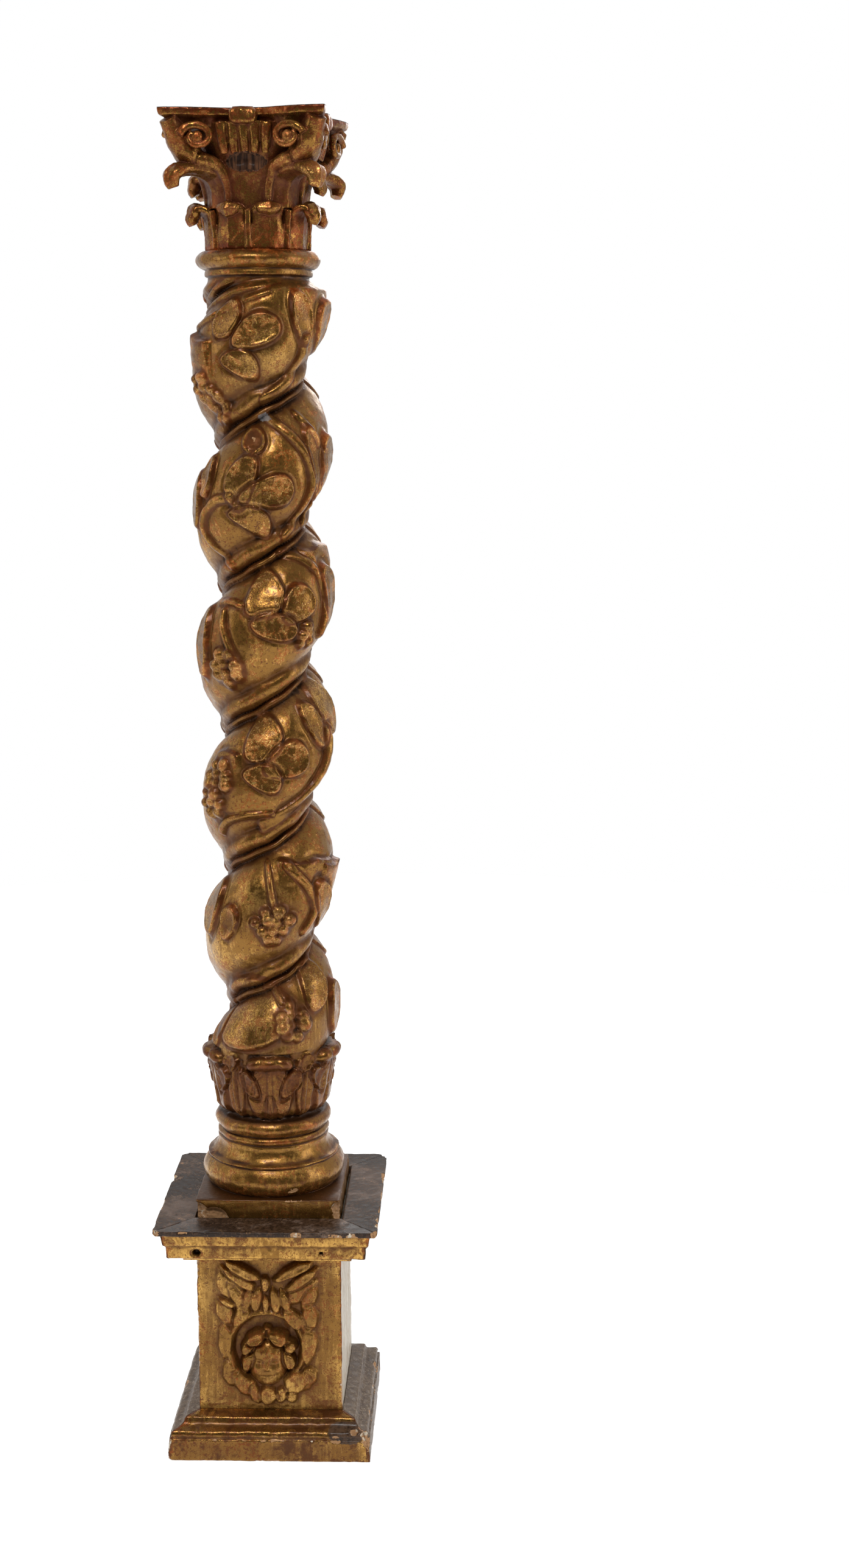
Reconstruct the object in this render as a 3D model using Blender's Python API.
# Barley twist column of gilded carved wood, standing on its own pedestal.
# Metres, +Z up, the carved front of the pedestal faces -Y.
import math

import bmesh
import bpy
import numpy as np
from mathutils import Matrix

for old in list(bpy.data.objects):
    bpy.data.objects.remove(old, do_unlink=True)

# Fit between touching pieces
joint_gap = 0.0003

# Pedestal block and its carved front
die_half = 0.0745
die_height = 0.2455
relief_depth = 0.0100
niche_depth = 0.0075

# Moulding round the foot of the block
foot_reach = 0.0306
foot_height = 0.0437

# Moulding round the head of the block
cornice_reach = 0.0399
cornice_height = 0.0418
cornice_rise = 0.0088
nail_hole = 0.0075
nail_depth = 0.012

# Square plinth of the column, let into the cornice and set back a little from the face of the block
plinth_setback = 0.0005
plinth_height = 0.0274
plinth_clearance = 0.0010
open_joint = 0.0024

# Turned base
lower_roll_radius = 0.0739
lower_roll_height = 0.0325
scotia_radius = 0.0565
scotia_height = 0.0185
bead_height = 0.0085
upper_roll_radius = 0.0605
upper_roll_height = 0.0175

# Leafy cup between base and shaft
cup_height = 0.0745
cup_foot_radius = 0.0500
cup_rim_radius = 0.0600
cup_leaves = 5
cup_leaf_depth = 0.0032
cup_leaf_front = -87.0
cup_lip_reach = 0.0080

# Twisted shaft with its vine
shaft_length = 0.7730
twist_turns = 5.406
twist_start = 0.180
bulge_radius = 0.0662
groove_radius = 0.0370
stem_ridge = 0.0105
vine_depth = 0.0056
grape_radius = 0.0064

# Neck and astragal
neck_radius = 0.0495
collar_radius = 0.0530
collar_height = 0.0070
astragal_radius = 0.0612
astragal_height = 0.0177

# Capital
capital_height = 0.1278
capital_turn = -4.4
bell_foot_radius = 0.0462
bell_head_radius = 0.0700
abacus_corner = 0.1120
abacus_waist = 0.0640
abacus_height = 0.0180
lower_leaf_reach = 0.0700
upper_leaf_reach = 0.1020
middle_leaf_reach = 0.0680
volute_radius = 0.0115
volute_depth = 0.0200
volute_out = 0.0700
volute_aside = 0.0430
fleuron_depth = 0.0150
fleuron_width = 0.0265
fleuron_height = 0.0155
socket_width = 0.0380
socket_height = 0.0135
socket_depth = 0.0100

# Finishes of the worn gilding: colour, roughness, metallic
column_finish = ((0.32, 0.21, 0.07), 0.38, 0.75)
capital_finish = ((0.19, 0.085, 0.030), 0.36, 0.60)
die_finish = ((0.34, 0.21, 0.07), 0.44, 0.65)
cornice_finish = ((0.36, 0.23, 0.08), 0.42, 0.65)
foot_finish = ((0.26, 0.16, 0.06), 0.38, 0.60)

# Fineness of the faceted surfaces
turned_sides = 32
carved_sides = 160
column_step = 0.0028
column_faces = 6280
capital_voxel = 0.0014
capital_faces = 1850
die_faces = 1300
sharp_angle = 50.0

# Sizes that follow from those above
plinth_half = die_half - plinth_setback
cornice_top = die_height + cornice_rise
cornice_bottom = cornice_top - cornice_height
plinth_bottom = die_height + joint_gap
plinth_top = plinth_bottom + plinth_height
cup_bottom = plinth_top + lower_roll_height + scotia_height + bead_height + upper_roll_height
shaft_bottom = cup_bottom + cup_height
shaft_top = shaft_bottom + shaft_length
column_top = shaft_top + collar_height + astragal_height
capital_bottom = column_top + joint_gap
capital_top = capital_bottom + capital_height

# The carving is laid out in millimetres on a shaft and a panel of these sizes
drawn_shaft = 773.0
drawn_bulge = 66.2
drawn_half = 74.5
drawn_panel = 168.8


def smooth_step(value):
    value = np.clip(value, 0.0, 1.0)
    return value * value * (3.0 - 2.0 * value)


def wrapped(angle):
    return (angle + math.pi) % (2.0 * math.pi) - math.pi


def add_object(name, mesh, finish, level=0.0, turn=0.0, smooth=True):
    """Stands a piece on its level, turned about the axis, in its own gilded wood.
    The mesh comes with heights above the floor and is kept with heights above the piece's own foot."""
    mesh.transform(Matrix.Translation((0.0, 0.0, -level)))
    piece = bpy.data.objects.new(name, mesh)
    bpy.context.scene.collection.objects.link(piece)
    piece.parent = whole
    piece.location = (0.0, 0.0, level)
    piece.rotation_euler = (0.0, 0.0, math.radians(turn))
    colour, roughness, metallic = finish
    material = bpy.data.materials.new(name + "_wood")
    material.use_nodes = True
    shader = material.node_tree.nodes["Principled BSDF"]
    shader.inputs["Base Color"].default_value = (*colour, 1.0)
    shader.inputs["Roughness"].default_value = roughness
    shader.inputs["Metallic"].default_value = metallic
    mesh.materials.append(material)
    mesh.polygons.foreach_set("use_smooth", [smooth] * len(mesh.polygons))
    if smooth:
        mesh.set_sharp_from_angle(angle=math.radians(sharp_angle))
    return piece


def mesh_from(vertices, faces, name):
    mesh = bpy.data.meshes.new(name)
    mesh.from_pydata([tuple(v) for v in vertices], [], faces)
    work = bmesh.new()
    work.from_mesh(mesh)
    bmesh.ops.recalc_face_normals(work, faces=work.faces)
    work.to_mesh(mesh)
    work.free()
    return mesh


def reduced(mesh, name, wanted_faces, voxel=None, carved=None):
    """Collapses edges down to the wanted number of triangles, after an optional even remesh.
    Only the carved vertices are touched, where a list of them is given."""
    piece = bpy.data.objects.new(name, mesh)
    bpy.context.scene.collection.objects.link(piece)
    if voxel:
        even = piece.modifiers.new("even", "REMESH")
        even.mode = "VOXEL"
        even.voxel_size = voxel
    split = piece.modifiers.new("split", "TRIANGULATE")
    split.quad_method = "BEAUTY"
    start = triangle_count(piece)
    collapse = piece.modifiers.new("collapse", "DECIMATE")
    collapse.ratio = min(1.0, wanted_faces / start)
    collapse.use_collapse_triangulate = True
    if carved:
        group = piece.vertex_groups.new(name="carved")
        group.add(carved, 1.0, "REPLACE")
        collapse.vertex_group = "carved"
    result = applied(piece)
    bpy.data.objects.remove(piece, do_unlink=True)
    return result


def triangle_count(piece):
    bpy.context.view_layer.update()
    shown = piece.evaluated_get(bpy.context.evaluated_depsgraph_get())
    mesh = shown.to_mesh()
    count = sum(len(face.vertices) - 2 for face in mesh.polygons)
    shown.to_mesh_clear()
    return count


def applied(piece):
    bpy.context.view_layer.update()
    shown = piece.evaluated_get(bpy.context.evaluated_depsgraph_get())
    return bpy.data.meshes.new_from_object(shown)


def cut_with(piece, cutters):
    """Takes the cutters away from the piece."""
    for cutter in cutters:
        cutter.hide_render = True
        cutter.display_type = "WIRE"
        cut = piece.modifiers.new("cut", "BOOLEAN")
        cut.operation = "DIFFERENCE"
        cut.solver = "EXACT"
        cut.object = cutter
    mesh = applied(piece)
    piece.modifiers.clear()
    old = piece.data
    piece.data = mesh
    bpy.data.meshes.remove(old)
    for cutter in cutters:
        bpy.data.objects.remove(cutter, do_unlink=True)


whole = bpy.data.objects.new("barley_twist_column", None)
bpy.context.scene.collection.objects.link(whole)


# Mitred mouldings

side_turns = {"front": 0.0, "right": 90.0, "back": 180.0, "left": 270.0}

foot_outline = (
    (0.0, 0.0),
    (1.0, 0.0),
    (0.985, 0.53),
    (0.90, 0.54),
    (0.93, 0.62),
    (0.865, 0.70),
    (0.72, 0.735),
    (0.655, 0.745),
    (0.555, 0.79),
    (0.49, 0.86),
    (0.48, 0.91),
    (0.425, 0.94),
    (0.0, 1.0),
)
cornice_outline = (
    (0.0, 0.0),
    (0.30, 0.0),
    (0.315, 0.155),
    (0.63, 0.17),
    (0.685, 0.215),
    (0.69, 0.50),
    (0.765, 0.56),
    (0.80, 0.775),
    (0.827, 0.86),
    (1.0, 0.873),
    (1.0, 1.0),
)


def mitred_length(kind, side, outline, finish, level):
    """One moulding length, laid out along the front and turned to its side of the block.
    Outline points are (distance from the axis, height)."""
    ends = []
    for sign in (-1.0, 1.0):
        ends.append([(sign * (off - joint_gap / 2.0), -off, z) for off, z in outline])
    count = len(outline)
    faces = [list(range(count)), list(range(2 * count - 1, count - 1, -1))]
    for i in range(count):
        j = (i + 1) % count
        faces.append([i, count + i, count + j, j])
    name = kind + "_" + side
    mesh = mesh_from(ends[0] + ends[1], faces, name)
    return add_object(name, mesh, finish, level, side_turns[side], smooth=False)


def build_feet():
    inner = die_half + joint_gap
    outline = [(inner if u == 0.0 else die_half + u * foot_reach, v * foot_height) for u, v in foot_outline]
    for side in side_turns:
        mitred_length("foot", side, outline, foot_finish, 0.0)


def build_cornice():
    inner = die_half + joint_gap
    for side in side_turns:
        opening = plinth_half + (open_joint if side == "right" else plinth_clearance)
        outline = []
        for u, v in cornice_outline:
            off = inner if u == 0.0 else die_half + u * cornice_reach
            outline.append((off, cornice_bottom + v * cornice_height))
        outline.append((opening, cornice_top))
        outline.append((opening, die_height + joint_gap))
        outline.append((inner, die_height + joint_gap))
        piece = mitred_length("cornice", side, outline, cornice_finish, cornice_bottom)
        if side == "front":
            cut_with(piece, [nail_hole_cutter()])


def nail_hole_cutter():
    bpy.ops.mesh.primitive_cube_add(size=1.0)
    cutter = bpy.context.object
    band_face = die_half + 0.69 * cornice_reach
    cutter.scale = (nail_hole, 2.0 * nail_depth, nail_hole)
    cutter.location = (-0.85 * die_half, -band_face, cornice_bottom + 0.36 * cornice_height)
    cutter.rotation_euler = (0.0, 0.3, 0.0)
    return cutter


# Carved front of the block, drawn as heights above its face

def lobe(x, z, cx, cz, length, width, tilt, height):
    """Rounded leaf or feather with its long side along the tilt direction."""
    turn = math.radians(tilt)
    along = (x - cx) * math.cos(turn) + (z - cz) * math.sin(turn)
    across = -(x - cx) * math.sin(turn) + (z - cz) * math.cos(turn)
    reach = (along / (length / 2.0)) ** 2 + (across / (width / 2.0)) ** 2
    return height * np.sqrt(np.clip(1.0 - reach, 0.0, 1.0))


def cherub_head(x, z):
    """Plain young face: oval with brow, nose, cheeks, mouth and chin, two curls above and locks beside it."""
    cx = -3.0
    cz = 95.0
    oval = np.clip(1.0 - ((x - cx) / 21.5) ** 2 - ((z - cz) / 28.5) ** 2, 0.0, 1.0)
    height = 1.50 * np.sqrt(oval)
    inside = smooth_step(oval * 4.0)
    brow = np.exp(-(((z - cz - 9.0) / 3.0) ** 2)) * np.exp(-(((x - cx) / 12.0) ** 2))
    bridge = smooth_step((cz + 10.0 - z) / 14.0) * smooth_step((z - cz + 6.0) / 2.5)
    nose = np.exp(-(((x - cx) / 3.0) ** 2)) * bridge
    mouth = np.exp(-(((x - cx) / 5.0) ** 2)) * np.exp(-(((z - cz + 11.5) / 1.6) ** 2))
    chin = np.exp(-(((x - cx) / 5.5) ** 2)) * np.exp(-(((z - cz + 20.0) / 4.0) ** 2))
    height += inside * (0.10 * brow + 0.30 * nose - 0.12 * mouth + 0.14 * chin)
    for sign in (-1.0, 1.0):
        eye = np.exp(-(((x - cx - sign * 8.0) / 3.6) ** 2)) * np.exp(-(((z - cz - 3.0) / 2.6) ** 2))
        cheek = np.exp(-(((x - cx - sign * 10.0) / 5.5) ** 2)) * np.exp(-(((z - cz + 6.0) / 5.5) ** 2))
        height += inside * (0.12 * cheek - 0.16 * eye)
        height = np.maximum(height, lobe(x, z, cx + sign * 22.0, cz + 2.0, 25.0, 13.0, -sign * 74.0, 1.05))
        height = np.maximum(height, lobe(x, z, cx + sign * 22.0, cz + 18.0, 18.0, 14.0, -sign * 55.0, 1.20))
        height = np.maximum(height, lobe(x, z, cx + sign * 12.0, cz + 28.0, 22.0, 15.0, -sign * 26.0, 1.70))
    return height


def wing_feathers(x, z):
    """Two wings crossing over the niche, lobes hanging down both sides and a ruffle under the chin."""
    parts = [lobe(x, z, -3.5, 183.0, 18.0, 10.0, 90.0, 0.75), lobe(x, z, -2.5, 60.0, 21.0, 18.0, 90.0, 0.95)]
    for sign in (-1.0, 1.0):
        mirrored = sign * (x + 3.0)
        parts += [
            lobe(mirrored, z, 26.0, 199.0, 46.0, 14.0, 29.0, 1.05),
            lobe(mirrored, z, 33.0, 188.5, 42.0, 14.0, 37.0, 0.80),
            lobe(mirrored, z, 37.0, 178.0, 42.0, 25.0, 60.0, 0.60),
            lobe(mirrored, z, 43.0, 148.0, 30.0, 19.0, 80.0, 0.70),
            lobe(mirrored, z, 28.0, 146.0, 27.0, 17.0, -55.0, 0.62),
            lobe(mirrored, z, 43.0, 116.0, 40.0, 17.0, 87.0, 0.60),
            lobe(mirrored, z, 40.0, 81.0, 29.0, 17.0, 72.0, 0.62),
            lobe(mirrored, z, 27.0, 74.0, 30.0, 23.0, 56.0, 0.82),
            lobe(mirrored, z, 10.0, 165.0, 28.0, 12.0, -82.0, 0.68),
            lobe(mirrored, z, 13.5, 61.0, 20.0, 12.0, 74.0, 0.78),
        ]
    return np.maximum.reduce(parts)


def die_relief(x, z):
    """Height of the carving over the face of the block in metres, at x and z in metres."""
    x = x / die_half * drawn_half
    z = (z - foot_height) / (cornice_bottom - foot_height) * drawn_panel + 43.7
    carving = wing_feathers(x, z)
    away = np.sqrt(((x + 3.5) / 35.5) ** 2 + ((z - 111.0) / 36.5) ** 2)
    niche = smooth_step((1.04 - away) / 0.14) * smooth_step((z - 66.0) / 12.0)
    floor = carving * relief_depth * (1.0 - niche) - niche_depth * niche
    head = cherub_head(x, z)
    face = head * relief_depth - niche_depth * (head > 0.0)
    return np.where(head > 0.0, np.maximum(floor, face), floor)


def build_die():
    columns = 54
    rows = 58
    xs = np.linspace(-die_half, die_half, columns)
    zs = np.concatenate([[0.0], np.linspace(foot_height, cornice_bottom, rows), [die_height]])
    grid_x, grid_z = np.meshgrid(xs, zs)
    inside = (grid_z > foot_height) & (grid_z < cornice_bottom) & (abs(grid_x) < die_half * 0.99)
    heights = np.where(inside, die_relief(grid_x, grid_z), 0.0)
    vertices = []
    for row in range(len(zs)):
        for col in range(columns):
            vertices.append((xs[col], -die_half - heights[row, col], zs[row]))
    last = len(zs) - 1
    faces = []
    for row in range(last):
        for col in range(columns - 1):
            a = row * columns + col
            faces.append([a, a + 1, a + columns + 1, a + columns])
    back = len(vertices)
    vertices += [(-die_half, die_half, 0.0), (die_half, die_half, 0.0)]
    vertices += [(-die_half, die_half, die_height), (die_half, die_half, die_height)]
    faces.append([back, back + 1] + list(range(columns - 1, -1, -1)))
    faces.append(list(range(last * columns, (last + 1) * columns)) + [back + 3, back + 2])
    faces.append([row * columns for row in range(last + 1)] + [back + 2, back])
    faces.append([row * columns + columns - 1 for row in range(last, -1, -1)] + [back + 1, back + 3])
    faces.append([back, back + 2, back + 3, back + 1])
    mesh = reduced(mesh_from(vertices, faces, "die_full"), "die_full", die_faces)
    add_object("pedestal_die", mesh, die_finish)


# Carving on the shaft, stamped on its unrolled surface in drawn millimetres

def local(theta, z, angle, height):
    """Distances in drawn millimetres from a point of the shaft, along the girth and upwards."""
    along = wrapped(theta - math.radians(angle)) * drawn_bulge
    return along, z - height


def leaflet(theta, z, angle, height, length, width, tilt, raise_by):
    """Oval leaflet with a low rim and a slightly hollow face."""
    dx, dz = local(theta, z, angle, height)
    turn = math.radians(tilt)
    along = dx * math.cos(turn) + dz * math.sin(turn)
    across = -dx * math.sin(turn) + dz * math.cos(turn)
    reach = np.sqrt((along / (length / 2.0)) ** 2 + (across / (width / 2.0)) ** 2)
    plate = smooth_step((1.06 - reach) / 0.14)
    hollow = np.clip(1.0 - reach * reach, 0.0, 1.0)
    return raise_by * plate * (1.0 - 0.30 * hollow)


def trefoil(theta, z, angle, height, turn=0.0, size=1.0):
    """Three leaflets spreading from one point."""
    result = np.zeros_like(theta)
    spread = ((52.0, 25.0, 38.0, 26.0), (4.0, 40.0, 48.0, 31.0), (-48.0, 26.0, 44.0, 24.0))
    for direction, distance, length, width in spread:
        heading = math.radians(direction + turn)
        spot = angle + math.degrees(size * distance * math.cos(heading) / drawn_bulge)
        level = height + size * distance * math.sin(heading)
        result = np.maximum(
            result, leaflet(theta, z, spot, level, size * length, size * width, 0.6 * direction + turn, 1.0)
        )
    return result


def grapes(theta, z, angle, height, rows=(2, 3, 2)):
    """Bunch of round berries."""
    result = np.zeros_like(theta)
    berry = grape_radius * 1000.0
    dx, dz = local(theta, z, angle, height)
    for row, count in enumerate(rows):
        for place in range(count):
            bx = (place - (count - 1) / 2.0) * berry * 1.7
            bz = (len(rows) / 2.0 - 0.5 - row) * berry * 1.5
            away = ((dx - bx) ** 2 + (dz - bz) ** 2) / berry ** 2
            result = np.maximum(result, 1.35 * np.sqrt(np.clip(1.0 - away, 0.0, 1.0)))
    return result


def stalk(theta, z, start, end, sag=0.0, width=4.2):
    """Round stalk from one (angle, height) to another, bowed by sag."""
    girth = drawn_bulge * math.radians(end[0] - start[0])
    rise = end[1] - start[1]
    length = math.hypot(girth, rise)
    dx, dz = local(theta, z, start[0], start[1])
    along = (dx * girth + dz * rise) / length
    across = (-dx * rise + dz * girth) / length
    part = np.clip(along / length, 0.0, 1.0)
    away = np.hypot(along - part * length, across - sag * 4.0 * part * (1.0 - part))
    return 0.95 * np.sqrt(np.clip(1.0 - (away / width) ** 2, 0.0, 1.0))


def ledge_leaf(theta, z, angle, height, width, drop):
    """Flat leaf whose upper edge stands out as a ledge and whose lower part runs into the bulge."""
    dx, dz = local(theta, z, angle, height)
    side = smooth_step((width / 2.0 - abs(dx)) / 5.0)
    fall = np.clip((dz + drop) / drop, 0.0, 1.0) * smooth_step(-dz / 2.0)
    return 1.7 * side * fall


def knot(theta, z, angle, height, radius):
    """Sawn-off branch: a disc with a rim and a sunk middle."""
    dx, dz = local(theta, z, angle, height)
    reach = np.hypot(dx, dz) / radius
    return smooth_step((1.1 - reach) / 0.2) * (1.5 - 0.8 * smooth_step((0.8 - reach) / 0.25))


def vine(theta, z):
    """All the stems, leaves and grapes, in parts of vine_depth; heights run up from the foot of the shaft."""
    parts = [
        trefoil(theta, z, -114, 708, turn=22),
        trefoil(theta, z, -112, 568),
        trefoil(theta, z, -96, 450, turn=6),
        trefoil(theta, z, -102, 308),
        leaflet(theta, z, -144, 714, 26, 30, 80, 1.0),
        leaflet(theta, z, -44, 733, 44, 20, 105, 1.1),
        leaflet(theta, z, -14, 722, 50, 26, 100, 0.9),
        leaflet(theta, z, -36, 594, 62, 20, 118, 1.0),
        leaflet(theta, z, -14, 588, 60, 30, 112, 0.8),
        leaflet(theta, z, -140, 583, 42, 18, 80, 1.0),
        leaflet(theta, z, -34, 333, 48, 24, 110, 1.0),
        leaflet(theta, z, -12, 350, 54, 30, 105, 0.9),
        leaflet(theta, z, -152, 412, 46, 26, 95, 0.9),
        leaflet(theta, z, -123, 137, 34, 20, 78, 1.0),
        leaflet(theta, z, -150, 142, 50, 24, 84, 1.0),
        leaflet(theta, z, -6, 34, 52, 30, 85, 1.0),
        leaflet(theta, z, -18, 160, 60, 36, 110, 0.9),
        leaflet(theta, z, -98, 42, 66, 40, 5, 0.5),
        ledge_leaf(theta, z, -14, 515, 50, 34),
        ledge_leaf(theta, z, -42, 200, 60, 30),
        ledge_leaf(theta, z, -131, 312, 36, 26),
        grapes(theta, z, -138, 655),
        grapes(theta, z, -120, 388),
        grapes(theta, z, -46, 428, (1, 2)),
        grapes(theta, z, -138, 276),
        grapes(theta, z, -82, 134),
        grapes(theta, z, -64, 34),
        knot(theta, z, -91, 616, 14.0),
        stalk(theta, z, (-74, 634), (-40, 572), sag=6),
        stalk(theta, z, (-112, 560), (-146, 540), sag=4),
        stalk(theta, z, (-146, 540), (-128, 504), sag=-4),
        stalk(theta, z, (-34, 505), (-18, 455), sag=5),
        stalk(theta, z, (-124, 444), (-112, 402), sag=2),
        stalk(theta, z, (-30, 345), (-30, 292), sag=6),
        stalk(theta, z, (-130, 236), (-84, 246), sag=3),
        stalk(theta, z, (-85, 196), (-81, 152)),
        stalk(theta, z, (-60, 190), (-38, 140), sag=6, width=6.0),
        stalk(theta, z, (-88, 66), (-70, 52), sag=1),
    ]
    turn_height = drawn_shaft / twist_turns
    for step in range(5):
        level = 130.0 + step * turn_height
        parts.append(trefoil(theta, z, 66, level, turn=5 * step))
        parts.append(leaflet(theta, z, 152, level + 30, 50, 27, 100, 1.0))
    return np.maximum.reduce(parts)


def shaft_surface(theta, z):
    """Radius of the twisted shaft; z in metres."""
    drawn = (z - shaft_bottom) / shaft_length * drawn_shaft
    turns = (z - shaft_bottom) / shaft_length * twist_turns - theta / (2.0 * math.pi) + twist_start
    phase = (turns - 0.45 + 0.5) % 1.0 - 0.5
    swell = np.clip(1.0 - (abs(phase) / 0.44) ** 2.6, 0.0, 1.0) ** 0.85
    radius = groove_radius + (bulge_radius - groove_radius) * swell
    beside = (turns + 0.5) % 1.0 - 0.5
    upper = np.sqrt(np.clip(1.0 - ((beside - 0.022) / 0.085) ** 2, 0.0, 1.0))
    lower = 0.7 * np.sqrt(np.clip(1.0 - ((beside + 0.098) / 0.040) ** 2, 0.0, 1.0))
    radius = np.maximum(radius, groove_radius + stem_ridge * np.maximum(upper, lower))
    radius = radius + vine_depth * vine(theta, drawn) * (0.35 + 0.65 * swell)
    fade = smooth_step((z - shaft_top + 0.036) / 0.030)
    return radius * (1.0 - fade) + neck_radius * fade


def cup_surface(theta, z):
    """Radius of the leafy cup, zero above its rim.
    Broad leaves roll over at the top, narrow ones stand between them."""
    share = (z - cup_bottom) / cup_height
    body = np.interp(share, [0.0, 0.08, 0.15, 0.40, 0.84, 1.0], [0.0, 0.30, 0.50, 0.76, 1.0, 0.95])
    radius = cup_foot_radius + (cup_rim_radius - cup_foot_radius) * body
    front = math.radians(cup_leaf_front)
    beside = abs(wrapped((theta - front) * cup_leaves)) / math.pi
    broad = smooth_step((0.60 - beside) / 0.10)
    narrow = smooth_step((beside - 0.70) / 0.10)
    vein = np.exp(-((beside / 0.09) ** 2)) * smooth_step((0.80 - share) / 0.2)
    lip_height = 0.885 - 0.09 * beside ** 2
    bulge = np.sqrt(np.clip(1.0 - ((share - lip_height) / 0.10) ** 2, 0.0, 1.0))
    lip = bulge * smooth_step((0.72 - beside) / 0.15)
    radius = radius + cup_leaf_depth * (broad + narrow + 0.5 * vein)
    radius = np.where(lip > 0.0, np.maximum(radius, cup_rim_radius + cup_lip_reach * lip), radius)
    rim = 0.99 - 0.09 * smooth_step((beside - 0.55) / 0.15) + 0.08 * narrow
    return np.where(share > rim, 0.0, radius)


def roll(bottom, height, edge, outer, steps=6):
    """Rows of a rounded ring as (height, radius)."""
    rows = []
    for step in range(steps + 1):
        part = step / steps
        swell = math.sin(math.pi * part) ** 0.7 if 0 < step < steps else 0.0
        rows.append((bottom + part * height, edge + (outer - edge) * swell))
    return rows


def base_rows():
    level = plinth_top
    rows = roll(level, lower_roll_height * 0.90, lower_roll_radius * 0.90, lower_roll_radius)
    level += lower_roll_height
    rows += [(level - lower_roll_height * 0.09, lower_roll_radius * 0.92), (level, lower_roll_radius * 0.915)]
    for part, flare in ((0.05, 0.14), (0.25, 0.05), (0.55, 0.0), (0.95, 0.03)):
        rows.append((level + part * scotia_height, scotia_radius * (1.0 + flare)))
    level += scotia_height
    rows += roll(level, bead_height * 0.94, scotia_radius * 0.985, scotia_radius * 1.025, 3)
    level += bead_height
    rows += roll(level, upper_roll_height, upper_roll_radius * 0.90, upper_roll_radius)
    return rows


def head_rows():
    rows = [(shaft_top, neck_radius), (shaft_top + 0.08 * collar_height, collar_radius * 0.985)]
    rows.append((shaft_top + 0.55 * collar_height, collar_radius))
    rows.append((shaft_top + collar_height, collar_radius * 0.99))
    start = shaft_top + 1.05 * collar_height
    rows += roll(start, column_top - start, 0.885 * astragal_radius, astragal_radius)
    return rows


def ring_points(level, radii):
    count = len(radii)
    turns = np.arange(count) * 2.0 * math.pi / count
    return [(radius * math.cos(turn), radius * math.sin(turn), level) for turn, radius in zip(turns, radii)]


def build_column():
    turned = np.arange(turned_sides) * 2.0 * math.pi / turned_sides
    carved = np.arange(carved_sides) * 2.0 * math.pi / carved_sides
    square = plinth_half / np.maximum(abs(np.cos(turned)), abs(np.sin(turned)))
    rings = [ring_points(plinth_bottom, square), ring_points(plinth_top, square)]
    rings += [ring_points(level, [radius] * turned_sides) for level, radius in base_rows()]
    first_carved = len(rings)
    count = round((shaft_top - cup_bottom) / column_step)
    for step in range(1, count):
        level = cup_bottom + step * (shaft_top - cup_bottom) / count
        radii = shaft_surface(carved, np.full_like(carved, level))
        if level < shaft_bottom:
            radii = np.maximum(radii, cup_surface(carved, level))
        rings.append(ring_points(level, radii))
    last_carved = len(rings) - 1
    rings += [ring_points(level, [radius] * turned_sides) for level, radius in head_rows()]
    vertices = []
    starts = []
    for ring in rings:
        starts.append(len(vertices))
        vertices += ring
    faces = [list(range(turned_sides - 1, -1, -1))]
    for low in range(len(rings) - 1):
        faces += band_faces(starts[low], len(rings[low]), starts[low + 1], len(rings[low + 1]))
    faces.append(list(range(starts[-1], len(vertices))))
    inner = list(range(starts[first_carved], starts[last_carved + 1]))
    mesh = mesh_from(vertices, faces, "column_full")
    mesh = reduced(mesh, "column_full", column_faces, carved=inner)
    add_object("column", mesh, column_finish, plinth_bottom)


def band_faces(low, low_count, high, high_count):
    """Faces between two rings, one of which may be finer by a whole number."""
    faces = []
    coarse = min(low_count, high_count)
    low_share = low_count // coarse
    high_share = high_count // coarse
    for side in range(coarse):
        lower = [low + (side * low_share + i) % low_count for i in range(low_share + 1)]
        upper = [high + (side * high_share + i) % high_count for i in range(high_share + 1)]
        faces.append(lower + upper[::-1])
    return faces


# Capital

def turned_rings(rows, sides, outline=None):
    """Closed solid from rings; each row is (height, radius) and outline gives the radius factor by angle."""
    vertices = []
    for z, radius in rows:
        for side in range(sides):
            angle = 2.0 * math.pi * side / sides
            factor = outline(angle) if outline else 1.0
            vertices.append((radius * factor * math.cos(angle), radius * factor * math.sin(angle), z))
    faces = [list(range(sides - 1, -1, -1))]
    for row in range(len(rows) - 1):
        for side in range(sides):
            other = (side + 1) % sides
            low = row * sides
            faces.append([low + side, low + other, low + sides + other, low + sides + side])
    faces.append(list(range((len(rows) - 1) * sides, len(rows) * sides)))
    return vertices, faces


def strap(path, angle, sides=12):
    """Thick curved leaf; path rows are (distance out, height, half width, half thickness)."""
    vertices = []
    for i, (out, z, half_width, half_thick) in enumerate(path):
        before = path[max(i - 1, 0)]
        after = path[min(i + 1, len(path) - 1)]
        run = after[0] - before[0]
        rise = after[1] - before[1]
        length = math.hypot(run, rise)
        for side in range(sides):
            around = 2.0 * math.pi * side / sides
            across = half_width * math.cos(around)
            lift = half_thick * math.sin(around)
            distance = out + lift * rise / length
            azimuth = math.radians(angle) + across / max(out, bell_foot_radius)
            height = z - lift * run / length
            vertices.append((distance * math.cos(azimuth), distance * math.sin(azimuth), height))
    faces = [list(range(sides - 1, -1, -1))]
    for row in range(len(path) - 1):
        for side in range(sides):
            other = (side + 1) % sides
            low = row * sides
            faces.append([low + side, low + other, low + sides + other, low + sides + side])
    faces.append(list(range((len(path) - 1) * sides, len(path) * sides)))
    return vertices, faces


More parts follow.
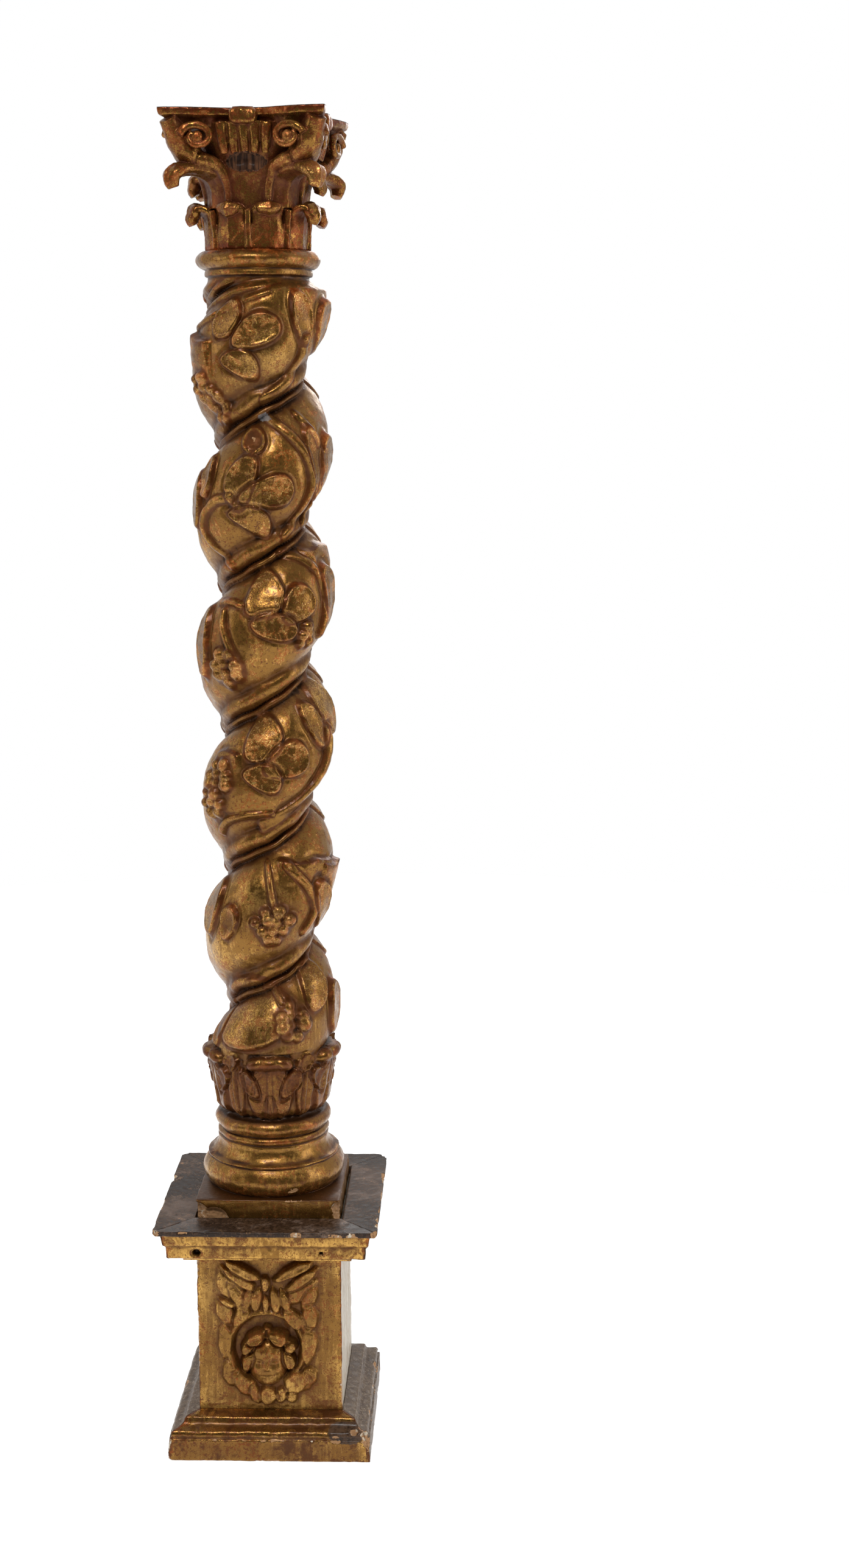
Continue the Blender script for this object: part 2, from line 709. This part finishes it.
def leaf_path(start, top, reach, width, hook, thick=0.0034):
    """Leaf that rises on the bell from start to top, bends out to reach and hooks down."""
    rise = top - start
    lean = reach - bell_foot_radius
    return [
        (bell_foot_radius + 0.0005, start, width, thick),
        (bell_foot_radius + 0.0012, start + 0.45 * rise, width, thick),
        (bell_foot_radius + 0.12 * lean, start + 0.76 * rise, width * 0.95, thick * 1.1),
        (bell_foot_radius + 0.38 * lean, start + 0.92 * rise, width * 0.86, thick * 1.25),
        (bell_foot_radius + 0.68 * lean, start + 0.93 * rise, width * 0.74, thick * 1.45),
        (reach - 0.0068, start + 0.90 * rise - 0.20 * hook, width * 0.62, thick * 1.6),
        (reach - 0.0055, start + rise - 0.70 * hook, width * 0.54, thick * 1.55),
        (reach - 0.0070, start + rise - hook, width * 0.36, thick * 1.1),
    ]


def abacus_outline(angle):
    """Radius factor of a square with hollow sides and blunt points; corners lie on the diagonals."""
    off = abs((angle + math.pi / 4.0) % (math.pi / 2.0) - math.pi / 4.0)
    share = off / (math.pi / 4.0)
    waist = abacus_waist / abacus_corner
    hollow = waist / math.cos(off) * (1.0 + 0.075 * share ** 4)
    point = 1.0 / max(math.cos(math.pi / 4.0 - off) + 0.9 * math.sin(math.pi / 4.0 - off), 0.2)
    blend = smooth_step(np.array((share - 0.30) / 0.70))
    return float(hollow * (1.0 - blend) + min(point, 1.0) * blend)


def block(centre, size, angle):
    """Rounded knob set at an angle round the axis; centre is (out, sideways, height)."""
    work = bmesh.new()
    bmesh.ops.create_uvsphere(work, u_segments=14, v_segments=9, radius=1.0)
    turn = math.radians(angle)
    vertices = []
    for vertex in work.verts:
        squared = [math.copysign(abs(c) ** 0.6, c) for c in vertex.co]
        out = centre[0] + squared[0] * size[0] / 2.0
        aside = centre[1] + squared[1] * size[1] / 2.0
        x = out * math.cos(turn) - aside * math.sin(turn)
        y = out * math.sin(turn) + aside * math.cos(turn)
        vertices.append((x, y, centre[2] + squared[2] * size[2] / 2.0))
    faces = [[v.index for v in face.verts] for face in work.faces]
    work.free()
    return vertices, faces


def volute(angle, aside, z):
    """Scroll disc facing outwards, with a proud eye."""
    sides = 20
    turn = math.radians(angle)
    rows = [(-volute_depth, 1.0), (0.0, 1.0), (0.0012, 0.9), (0.0012, 0.62)]
    rows += [(0.0, 0.56), (0.0014, 0.36), (0.0024, 0.12)]
    vertices = []
    for push, factor in rows:
        for side in range(sides):
            around = 2.0 * math.pi * side / sides
            off = aside + factor * volute_radius * math.cos(around)
            out = volute_out + push
            x = out * math.cos(turn) - off * math.sin(turn)
            y = out * math.sin(turn) + off * math.cos(turn)
            vertices.append((x, y, z + factor * volute_radius * math.sin(around)))
    faces = [list(range(sides - 1, -1, -1))]
    for row in range(len(rows) - 1):
        for side in range(sides):
            other = (side + 1) % sides
            low = row * sides
            faces.append([low + side, low + other, low + sides + other, low + sides + side])
    faces.append(list(range((len(rows) - 1) * sides, len(rows) * sides)))
    return vertices, faces


def capital_parts():
    """Closed solids that together make up the carved capital, laid out with its front along -Y."""
    bottom = capital_bottom
    height = capital_height
    flare = bell_head_radius - bell_foot_radius
    widening = ((0.0, 0.0), (0.15, 0.0), (0.3, 0.03), (0.48, 0.18), (0.64, 0.42), (0.78, 0.72), (0.90, 1.0))
    bell = [(bottom + part * height, bell_foot_radius + widen * flare) for part, widen in widening]
    abacus_bottom = capital_top - abacus_height
    abacus = [
        (abacus_bottom, abacus_corner * 0.82),
        (abacus_bottom + 0.42 * abacus_height, abacus_corner * 0.90),
        (abacus_bottom + 0.60 * abacus_height, abacus_corner * 0.98),
        (capital_top - 0.12 * abacus_height, abacus_corner),
        (capital_top, abacus_corner * 0.99),
    ]
    parts = [turned_rings(bell, 48), turned_rings(abacus, 96, abacus_outline)]
    leaf_top = bottom + 0.30 * height
    for step in range(8):
        angle = -90.0 + 22.5 + 45.0 * step
        worn = step in (0, 7)
        reach = bell_foot_radius + (0.45 if worn else 1.0) * (lower_leaf_reach - bell_foot_radius)
        hook = 0.004 if worn else 0.015
        parts.append(strap(leaf_path(bottom + 0.0005, leaf_top, reach, 0.0165, hook), angle))
    for step in range(4):
        corner = -45.0 + 90.0 * step
        face = -90.0 + 90.0 * step
        upper_start = bottom + 0.30 * height
        upper_top = bottom + 0.60 * height
        upper_path = leaf_path(upper_start, upper_top, upper_leaf_reach, 0.0170, 0.017, 0.0040)
        parts.append(strap(upper_path, corner))
        if step > 0:
            middle_top = bottom + 0.52 * height
            parts.append(strap(leaf_path(upper_start, middle_top, middle_leaf_reach, 0.0150, 0.016), face))
        horn = [
            (0.70 * bell_head_radius, bottom + 0.56 * height, 0.012, 0.0080),
            (0.58 * abacus_corner, bottom + 0.66 * height, 0.014, 0.0110),
            (0.68 * abacus_corner, bottom + 0.74 * height, 0.015, 0.0130),
            (0.75 * abacus_corner, bottom + 0.82 * height, 0.015, 0.0140),
            (0.79 * abacus_corner, bottom + 0.92 * height, 0.014, 0.0120),
        ]
        parts.append(strap(horn, corner))
        for sign in (-1.0, 1.0):
            parts.append(volute(face, sign * volute_aside, bottom + 0.790 * height))
        fleuron = (abacus_waist + 0.2 * fleuron_depth, 0.0, capital_top - 0.5 * fleuron_height)
        parts.append(block(fleuron, (fleuron_depth, fleuron_width, fleuron_height), face))
    return parts


def build_capital():
    vertices = []
    faces = []
    for part_vertices, part_faces in capital_parts():
        start = len(vertices)
        vertices += part_vertices
        faces += [[start + index for index in face] for face in part_faces]
    mesh = reduced(mesh_from(vertices, faces, "capital_full"), "capital_full", capital_faces, capital_voxel)
    level_ends(mesh)
    piece = add_object("capital", mesh, capital_finish, capital_bottom, capital_turn)
    cut_with(piece, [socket_cutter()])


def level_ends(mesh):
    """Makes the underside and the top of the capital flat."""
    for vertex in mesh.vertices:
        if vertex.co.z > capital_top - 0.0010:
            vertex.co.z = capital_top
        if vertex.co.z < capital_bottom + 0.0010:
            vertex.co.z = capital_bottom


def socket_cutter():
    """Oval pocket in the front of the bell, where a carved leaf tip is gone."""
    bpy.ops.mesh.primitive_cylinder_add(vertices=20, radius=0.5, depth=1.0)
    cutter = bpy.context.object
    facing = math.radians(-90.0 + capital_turn)
    distance = 0.80 * bell_head_radius
    cutter.scale = (socket_height, socket_width, 2.0 * socket_depth)
    cutter.rotation_euler = (0.0, math.pi / 2.0, facing)
    cutter.location = (
        distance * math.cos(facing),
        distance * math.sin(facing),
        capital_bottom + 0.61 * capital_height,
    )
    return cutter


build_die()
build_feet()
build_cornice()
build_column()
build_capital()
